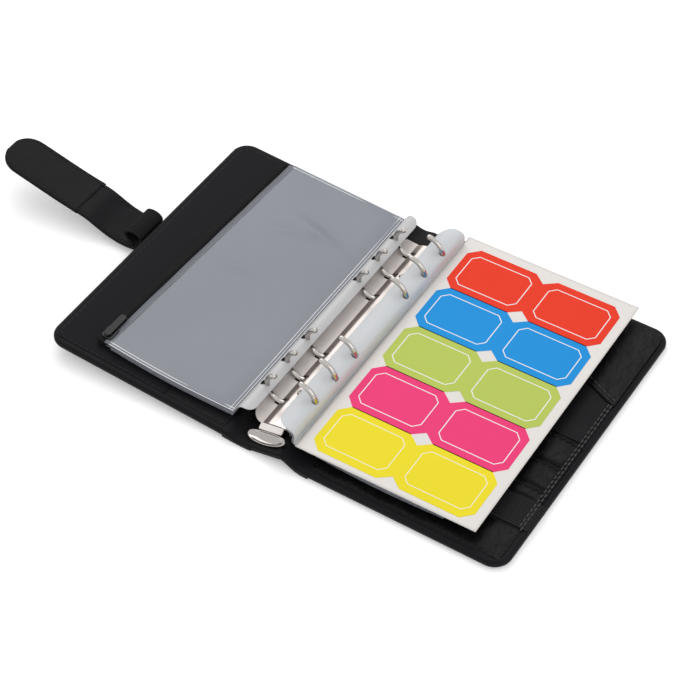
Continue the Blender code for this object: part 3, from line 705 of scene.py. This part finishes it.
leftTurn = dict(bodies=("left_strips", "left_stack"), start=(-13, 0, 14), end=(-20, 0, 9), cornerCut=6.0)
rightTurn = dict(bodies=("right_strips", "right_stack"), start=(17, 0, 14), end=(27, 0, 8), look=milky)
strips = {
    "leftLowerStrip": dict(
        line=[(-20.6, 7.5), (-18.4, 9.9), (-16.6, 12.4), (-14.9, 13.8), (-13.0, 13.9), (-11.2, 13.1)],
        crossing=(-14.6, 13.9), look=milky, ends=(-76.0, 79.0), node="left_lower_strip", **leftTurn),
    "leftUpperStrip": dict(
        line=[(-20.6, 9.3), (-18.8, 12.4), (-17.0, 15.2), (-15.0, 16.5), (-12.8, 16.3), (-10.8, 15.4),
              (-9.3, 14.4)],
        crossing=(-15.0, 16.4), look=greyMilky, ends=(-81.5, 86.0), node="left_upper_strip", **leftTurn),
    "rightLowerStrip": dict(
        line=[(28.9, 6.7), (21.0, 7.6), (17.4, 8.7), (16.2, 10.5), (16.2, 12.3), (16.6, 13.7), (15.9, 14.9),
              (13.0, 15.4), (10.0, 15.3), (7.6, 14.9)],
        crossing=(15.9, 14.9), ends=(-82.0, 84.0), node="right_lower_strip", **rightTurn),
    "rightMiddleStrip": dict(
        line=[(28.9, 8.6), (21.0, 9.2), (17.3, 10.1), (16.7, 12.0), (17.6, 14.4), (18.2, 16.4),
              (16.75, 17.8), (13.4, 18.3), (10.2, 18.1), (7.4, 17.5)],
        crossing=(16.75, 17.8), ends=(-83.5, 85.0), node="right_middle_strip", **rightTurn),
    "rightUpperStrip": dict(
        line=[(28.9, 10.5), (22.0, 10.8), (19.2, 11.1), (18.6, 12.4), (19.0, 14.8), (19.3, 17.4),
              (18.6, 19.3), (16.75, 20.4), (13.4, 21.0), (10.0, 20.8), (6.9, 20.0)],
        crossing=(16.75, 20.4), ends=(-84.5, 86.0), node="right_upper_strip", **rightTurn),
}
for name, facts in strips.items():
    stripPiece(name, **facts)
print("strips ready")


# pouches: two clear films welded along three sides, and a black zip on the outer side
pouch = {"low": -81.7, "high": 87.8, "thick": 1.6, "film": 0.35, "zip": 9.0, "lean": 6.0, "bow": 1.3,
         "tape": ((0.0, 0.46), (1.1, 0.5), (5.0, 0.52), (9.0, 0.5)), "teeth": 113,
         "net": ((5.7, 0.66), (7.9, 0.84), (9.0, 1.45), (9.5, 1.62))}
onRight = dict(body="right_stack", place=tableFrame, weld=29.0, end=114.0)
pouches = {
    "leftLower": dict(at="left_lower", body="left_stack", place=backFrame,
                      weld=-12.0, end=-99.0, z=5.8, wave=0.06),
    "leftUpper": dict(at="left_upper", body="left_page", place=backFrame,
                      weld=-12.0, end=-100.0, z=7.7, wave=0.9),
    "rightLower": dict(at="right_lower", z=5.9, wave=0.06, **onRight),
    "rightMiddle": dict(at="right_middle", z=7.8, wave=0.06, **onRight),
    "rightUpper": dict(at="right_upper", z=9.7, wave=0.1, **onRight),
}
# height, then place, slope and sharpness along the spine, then place and reach across it
filmCreases = ((1.3, 0.72, 0.12, 0.022, 0.45, 0.25), (0.9, 0.86, -0.2, 0.03, 0.6, 0.22),
               (0.8, 0.56, -0.08, 0.02, 0.75, 0.18), (0.6, 0.23, -0.1, 0.03, 0.3, 0.2))


def outerLine(facts, y):
    # the zip's outer edge leans inwards towards the far end on the left side
    lean = pouch["lean"] if facts["end"] < 0 else 0.0
    return facts["end"] + lean * (y - pouch["low"]) / (pouch["high"] - pouch["low"])


def filmGrid(facts, z, wave, nx=70, ny=130):
    # waves are sums of sines across and along, and a mask brings them to nothing at the welds
    u, v = shares(nx, ny)
    y = pouch["low"] + (pouch["high"] - pouch["low"]) * v
    inner = outerLine(facts, y) - np.sign(facts["end"]) * pouch["zip"]
    x = facts["weld"] + (inner - facts["weld"]) * u
    y = y - pouch["bow"] * np.sin(pi * u) * (1 - v) ** 3
    mask = np.minimum(1, 9 * u * (1 - u)) * np.minimum(1, 36 * v * (1 - v))
    tuck = np.sin(5.1 * u + 7.3 * v + 0.6) * 0.45 + np.sin(13.7 * v - 6.1 * u + 1.9) * 0.3
    crease = sum(high * np.exp(-((v - at - slope * u) / sharp) ** 2) * np.exp(-((u - middle) / reach) ** 2)
                 for high, at, slope, sharp, middle, reach in filmCreases)
    return np.stack([x, y, z + wave * mask * (0.35 + 0.5 * tuck + 0.9 * crease)], -1)


def zipRows(facts, y, section):
    # rows of points along the zip, each at its own way in from the outer edge and its own height
    outer, away = outerLine(facts, y), np.sign(facts["end"])
    return np.stack([np.stack([outer - away * step, y, np.full(len(y), facts["z"] + rise)], -1)
                     for step, rise in section])


square = ((-1, -1), (1, -1), (1, 1), (-1, 1))
tooth = np.array([(sx * x, sy * y, z) for x, y, z in ((0.62, 0.42, 0), (0.4, 0.25, 0.34))
                  for sx, sy in square])
cube = np.array([[3, 2, 1, 0], [4, 5, 6, 7], [0, 1, 5, 4], [1, 2, 6, 5], [2, 3, 7, 6], [3, 0, 4, 7]])
for name, facts in pouches.items():
    pouchNode, body, place, z = facts["at"] + "_pouch", facts["body"], facts["place"], facts["z"]
    for side, level, wave in (("Back", z + pouch["film"], 0.0), ("Front", z + pouch["thick"], facts["wave"])):
        top = filmGrid(facts, level, wave)
        low = top - np.array([0, 0, pouch["film"]])
        sheet = closedSheet(name + side + "Film", top, low, film, place)
        node = pouchNode + "_" + side.lower() + "_film"
        show(sheet, body, node, node)
    # pale lines on the welds, bowed like the film at the near end
    away = np.sign(facts["end"])
    y = np.linspace(pouch["low"] + 0.5, pouch["high"] - 0.5, 90)
    level = z + pouch["thick"] - 0.06
    bow = pouch["bow"] * np.sin(np.linspace(0, pi, 40))
    welds = []
    for edgeY, inward in ((pouch["low"], 1), (pouch["high"], -1)):
        stop = outerLine(facts, edgeY) - away * pouch["zip"]
        for step in (0.35, 2.0):
            line = alongX(facts["weld"], stop, edgeY + inward * step, level, 40)
            line[:, 1] -= bow * (inward > 0)
            welds.append(line)
    welds += [alongY(facts["weld"] + away * step, y[0], y[-1], level, 40) for step in (0.5, 2.2)]
    edges = tubes(name + "Edges", welds, 0.24, filmEdge, place, sides=8)
    show(edges, body, pouchNode + "_front_film")
    # zip: woven tape, two rows of teeth, a thin band of net over the film
    zipNode = pouchNode + "_zip"
    tapeTop = zipRows(facts, y, pouch["tape"])
    tape = closedSheet(name + "ZipTape", tapeTop, tapeTop - np.array([0, 0, 0.38]), zipTape, place)
    show(tape, body, zipNode, zipNode)
    teethY = np.linspace(pouch["low"] + 3.5, pouch["high"] - 2.5, pouch["teeth"])
    pitch = teethY[1] - teethY[0]
    lines = [np.stack([outerLine(facts, teethY) - away * row, teethY + phase * pitch], -1)
             for row, phase in ((4.1, 0.0), (5.0, 0.5))]
    centres = raised(np.concatenate(lines), z + 0.5)
    teeth = (centres[:, None] + tooth[None]).reshape(-1, 3)
    faces = (cube[None] + 8 * np.arange(len(centres))[:, None, None]).reshape(-1, 4).tolist()
    show(makePiece(name + "ZipTeeth", teeth, faces, zipTape, place, smooth=False), body, zipNode)
    net = zipRows(facts, y, pouch["net"])
    netTop, netLow = net + np.array([0, 0, 0.07]), net - np.array([0, 0, 0.2])
    show(closedSheet(name + "ZipNet", netTop, netLow, netting, place), body, zipNode)
    # slider: a small soft-edged block over the teeth
    middle = outerLine(facts, -74.2) - away * 4.5
    line = outline(middle - 3.4, middle + 3.4, -78.6, -69.8, 1.9)
    block = plate(name + "Slider", line, z + 0.92, z + 1.58, enamel, place, bevel=0.3, segments=4)
    show(block, facts["at"] + "_slider", pouchNode + "_slider", pouchNode + "_slider")
print("pouches ready")

# the pull of the upper left zip: a flat tab and the small bridge that holds it
pull = {"x": -95.65, "half": 2.0, "ends": (-77.6, -60.8), "corner": 1.7, "low": 9.72, "top": 10.5}
line = outline(pull["x"] - pull["half"], pull["x"] + pull["half"], *pull["ends"], pull["corner"])
tab = plate("zipPull", line, pull["low"], pull["top"], enamel, backFrame, bevel=0.3, segments=4)
show(tab, "left_upper_pull", "left_upper_pouch_pull", "left_upper_pouch_pull")
arch = [alongY(pull["x"], -77.3, -74.7, 9.3, 12)]
bridge = tubes("zipPullBridge", arch, 0.36, nickel, backFrame, sides=12)
show(bridge, "left_upper_slider", "left_upper_pouch_slider")

# label sheet: pale backing with five rows of coloured labels, two to a row with a notch between
sheetSize = {"half": (52.2, 89.2), "middle": (71.6, 3.95), "turn": 0.0102, "low": 11.93, "top": 12.1}
label = {"half": (46.7, 17.1), "first": 65.9, "pitch": 33.6, "corner": 5.8, "notch": 6.7, "notchDepth": 5.2,
         "line": (5.2, 42.4, 12.2), "lineCorner": 3.5, "low": 12.13, "top": 12.24}


def sheetFrame(p):
    p = np.asarray(p, float)
    c, s = cos(sheetSize["turn"]), sin(sheetSize["turn"])
    x, y = sheetSize["middle"]
    return np.stack([x + p[..., 0] * c - p[..., 1] * s, y + p[..., 0] * s + p[..., 1] * c, p[..., 2]], -1)


u, v = shares(60, 100, -1)
x, y = u * sheetSize["half"][0], v * sheetSize["half"][1]
sheetTop = np.stack([x, y, np.full_like(u, sheetSize["top"])], -1)
sheetLow = sheetTop - np.array([0, 0, sheetSize["top"] - sheetSize["low"]])
backing = closedSheet("labelBacking", sheetTop, sheetLow, paper, sheetFrame)
show(backing, "label_sheet", "label_backing", "label_backing")


def labelLine():
    # one closed line round both labels of a row: cut corners outside, a notch between the two
    hx, hy = label["half"]
    c = label["corner"]
    quarter = np.array([(hx, 0.0), (hx, hy - c), (hx - c, hy), (label["notch"], hy),
                        (0.0, hy - label["notchDepth"])])
    top = np.vstack([quarter, (quarter[::-1] * [-1, 1])[1:]])
    return np.vstack([top, top[::-1][1:-1] * [1, -1]])


def lineLoop(side):
    # the printed line inside one label: an eight-sided loop
    x0, x1, hy = label["line"]
    c = label["lineCorner"]
    loop = np.array([(x1, c - hy), (x1, hy - c), (x1 - c, hy), (x0 + c, hy),
                     (x0, hy - c), (x0, c - hy), (x0 + c, -hy), (x1 - c, -hy)])
    return loop * [side, 1]


for row, colour in enumerate(("red", "blue", "green", "pink", "yellow")):
    offset = np.array([0.0, label["first"] - row * label["pitch"]])
    top = label["top"]
    shape = plate(colour + "Labels", labelLine() + offset, label["low"], top, inkLooks[colour],
                  sheetFrame, bevel=0.03, segments=2)
    show(shape, "label_sheet", colour + "_labels", colour + "_labels")
    points, faces = [], []
    for start, side in ((0, -1), (640, 1)):
        loop = resample(lineLoop(side) + offset, 160, True)
        # the way from the point before to the point after, turned by a quarter, leads off the line
        away = (np.roll(loop, -1, 0) - np.roll(loop, 1, 0))[:, ::-1] * [1, -1]
        away /= np.linalg.norm(away, axis=1)[:, None]
        section = ((0.26, top), (0.26, top + 0.05), (-0.26, top + 0.05), (-0.26, top))
        points += [raised(loop + away * wide, z) for wide, z in section]
        j = start + np.arange(160)
        k = np.roll(j, -1)
        faces += gridFaces(4, 160, start, wrap=True) + np.stack([j + 480, k + 480, k, j], -1).tolist()
    look = creamLine if colour == "yellow" else whiteLine
    points = np.concatenate(points)
    printed = makePiece(colour + "LabelLines", points, faces, look, sheetFrame, smooth=False)
    show(printed, "label_sheet", colour + "_labels")
print("labels ready")

# strap: a flat doubled leather strip, sewn round: a waist beside the pen loop and a padded tongue
strap = {"thick": 2.6, "middle": 5.3, "edgeX": -133.235, "edgeZ": 8.108}
strapRuns = {
    "strapWaist": dict(
        half=13.5, bodies=("back_cover", "strap_middle"), at=(-146.5, -150.5),
        nodes=("strap_root", "strap_middle"),
        line=[(35.2, -4.1), (23.2, -3.3), (11.2, -2.8), (0.2, -3.1), (-6.8, -4.6), (-14.8, -5.0),
              (-23.8, -3.2), (-31.8, 0.3), (-37.8, 3.1), (-45.0, 4.5)]),
    "strapTongue": dict(
        half=14.0, bodies=("strap_middle", "strap_end"), at=(-194.5, -200.5), nodes=("strap_end",),
        line=[(-43.6, 4.6), (-55.0, 6.9), (-64.0, 9.1), (-76.8, 12.4), (-88.8, 15.4), (-98.75, 18.0)]),
}
for name, facts in strapRuns.items():
    # the run's line swept across the strap; half is the half width, closed in a half ellipse at the tip
    tip = name == "strapTongue"
    count, across = 130, 37
    path = smoothLine(np.asarray(facts["line"], float) + [strap["edgeX"], strap["edgeZ"]], count, 2)
    way = np.r_[0, np.cumsum(np.linalg.norm(np.diff(path, axis=0), axis=1))]
    half = np.full(count, facts["half"])
    if tip:
        d = np.clip((way[-1] - way) / facts["half"], 0.0006, 1)
        half = facts["half"] * (1 - (1 - d) ** 2.3) ** 0.44
    w = np.linspace(-1, 1, across)[None]
    x, z = np.repeat(path[:, :1], across, 1), np.repeat(path[:, 1:], across, 1)
    y = strap["middle"] + half[:, None] * w
    inside = (1 - np.abs(w)) * half[:, None]
    seam = 0.3 * np.exp(-((inside - 2.3) / 0.45) ** 2)
    if tip:
        inside = np.minimum(inside, (way[-1] - way)[:, None])
    rolled = np.clip(inside / 0.9, 0, 1)
    crown = (strap["thick"] / 2 - 0.08) * np.sqrt(1 - (1 - rolled) ** 2 + 0.003) - seam
    if tip:
        creases = 0.05 * np.sin(y / 6.0 + x / 9.0)
    else:
        creases = 0.14 * np.sin(x / 2.3 + 0.5 * np.sin(y / 4.0)) + 0.1 * np.sin(y / 3.1 + x / 5.0)
    crown = crown + creases * np.clip(inside / 3, 0, 1)
    if tip:
        crown = crown * np.clip((way / 0.8 + 0.35), 0, 1)[:, None] + 0.25 * np.exp(-(way / 2.5) ** 2)[:, None]
    top = np.stack([x, y, z + crown], -1)
    low = np.stack([x, y, z - np.minimum(crown, strap["thick"] / 2)], -1)
    belt = closedSheet(name, top, low, leather)
    seamZ = z[:, 0] + strap["thick"] / 2 - 0.3
    rows = [np.column_stack([x[:, 0], strap["middle"] + sign * (half - 2.3), seamZ]) for sign in (-1, 1)]
    if tip:
        keep = half > 5
        rows = [np.vstack([rows[0][keep], rows[1][keep][::-1]])]
    sewn = [stitches("%sStitches%d" % (name, k), row[2:], False, thread) for k, row in enumerate(rows)]
    if tip:
        row = alongY(x[4, 0], strap["middle"] - 11.5, strap["middle"] + 11.5, seamZ[4] + 0.35, 30)
        sewn.append(stitches("strapTongueCrossStitches", row, False, thread))
    start, end = facts["at"]
    for piece in [belt] + sewn:
        bend(piece, facts["bodies"], (start, 5.3, 8), (end, 5.3, 12), *facts["nodes"])
print("strap ready")

# pen loop: a flattened elastic tube beside the cover's edge
loop = {"middle": (-140.2, 10.0), "half": (5.8, 4.6), "wall": 1.15, "ends": (-5.6, 15.2), "rows": 26,
        "sides": 72}
sides = loop["sides"]
t = fullTurn(sides)
y = np.linspace(*loop["ends"], loop["rows"])[:, None]
bulge = 1 + 0.02 * np.sin(3 * t)
rings = []
for wall in (0.0, loop["wall"]):
    x = loop["middle"][0] + (loop["half"][0] - wall) * np.cos(t) * bulge
    z = loop["middle"][1] + (loop["half"][1] - wall) * np.sin(t) * bulge
    rings.append(np.stack(np.broadcast_arrays(x, y, z), -1).reshape(-1, 3))
n = loop["rows"] * sides
faces = [f[::-1] for f in gridFaces(loop["rows"], sides, wrap=True)]
faces += gridFaces(loop["rows"], sides, n, wrap=True)
k = np.arange(sides)
for row in (0, loop["rows"] - 1):
    a, b = row * sides + k, row * sides + (k + 1) % sides
    quad = np.stack([a, b, b + n, a + n], -1)
    faces += (quad if row else quad[:, ::-1]).tolist()
loopPiece = makePiece("penLoop", np.concatenate(rings), faces, elastic)
show(loopPiece, "back_cover", "pen_loop", "pen_loop")
print("pen loop ready")

# floor, light and camera
floorLook = Look("floor", (0.93, 0.93, 0.93), 0.9)
floorLook.tint(floorLook.noise(1.5, 2), (0.93, 0.93, 0.93), (0.95, 0.95, 0.95))
floorPlane = bpy.data.meshes.new("floorPlane")
reach = 6.0
corners = [(x * reach, y * reach, -0.0004) for x, y in square]
floorPlane.from_pydata(corners, [], [[0, 1, 2, 3]])
floorPlane.materials.append(floorLook.mat)
floorObject = bpy.data.objects.new("floorPlane", floorPlane)
bpy.context.scene.collection.objects.link(floorObject)
floorLook.shader.inputs["Emission Strength"].default_value = 0.3
floorLook.feed("Emission Color", seenDirectly(floorLook.tree))

room = bpy.data.worlds.new("studio")
bpy.context.scene.world = room
room.use_nodes = True
tree = room.node_tree
sky = tree.nodes["Background"]
direction = tree.nodes.new("ShaderNodeTexCoord")
split = tree.nodes.new("ShaderNodeSeparateXYZ")
tree.links.new(direction.outputs["Generated"], split.inputs[0])
height = Wire(tree, split.outputs["Z"])
soft = height.node("ShaderNodeMapRange", Value=height, From_Min=-0.1, From_Max=0.9, To_Min=0.24, To_Max=0.85)
level = seenDirectly(tree).math("MAXIMUM", soft)
tree.links.new(level.socket, sky.inputs["Color"])
sky.inputs["Strength"].default_value = 1.0


def lamp(name, at, aim, sizeX, sizeY, power):
    data = bpy.data.lights.new(name, "AREA")
    data.shape = "RECTANGLE"
    data.size, data.size_y, data.energy = sizeX, sizeY, power
    obj = bpy.data.objects.new(name, data)
    obj.location = at
    obj.rotation_euler = (Vector(aim) - Vector(at)).to_track_quat("-Z", "Y").to_euler()
    bpy.context.scene.collection.objects.link(obj)


lamp("keySoftbox", (-0.5, 0.55, 1.0), (0, 0, 0), 0.9, 0.9, 4.3)
lamp("fillSoftbox", (1.1, -0.28, 0.68), (0, 0, 0), 0.8, 0.8, 2.3)

camera = bpy.data.cameras.new("camera")
camera.lens, camera.sensor_width = 112.19, 36.0
camera.clip_end = 20.0
cameraObject = bpy.data.objects.new("camera", camera)
turned = Matrix(((0.8436, -0.3888, 0.3705), (0.537, 0.616, -0.5764), (-0.0041, 0.6851, 0.7284)))
cameraObject.matrix_world = Matrix.Translation((0.45835, -0.65709, 0.8270)) @ turned.to_4x4()
bpy.context.scene.collection.objects.link(cameraObject)
bpy.context.scene.camera = cameraObject
bpy.context.scene.view_settings.view_transform = "Standard"
bpy.context.view_layer.update()

print("scene ready")
